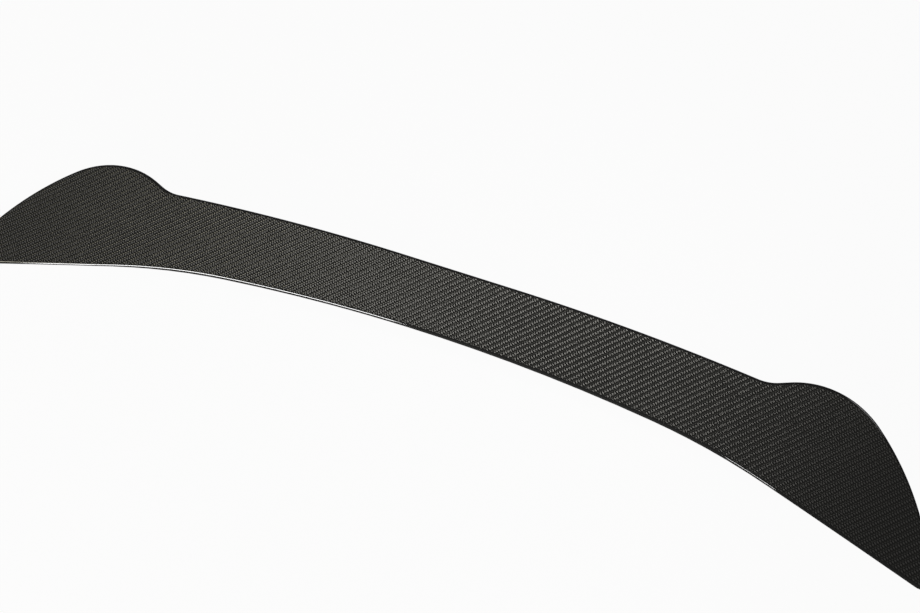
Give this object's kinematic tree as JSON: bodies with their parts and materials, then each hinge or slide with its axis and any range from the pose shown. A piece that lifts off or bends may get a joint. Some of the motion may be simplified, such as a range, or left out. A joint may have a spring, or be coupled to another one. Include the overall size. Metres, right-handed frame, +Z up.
{
  "type": "car rear spoiler",
  "caption": "Slim boot-lid lip spoiler: a hollow carbon-fibre shell with a rising ramp, rolled edges, raised swept ends and an underside that is bonded to a crowned lid.",
  "frame": {"origin": "on the lid's surface, under the middle of the front edge", "axes": "+X across the car, +Y towards the rear of the car, +Z up"},
  "size_m": [1.1054, 0.1669, 0.0381],
  "materials": {
    "carbon_laminate": "twill carbon weave under clear lacquer"
  },
  "bodies": {
    "root": {"spoiler_shell": "carbon_laminate"}
  },
  "joints": []
}
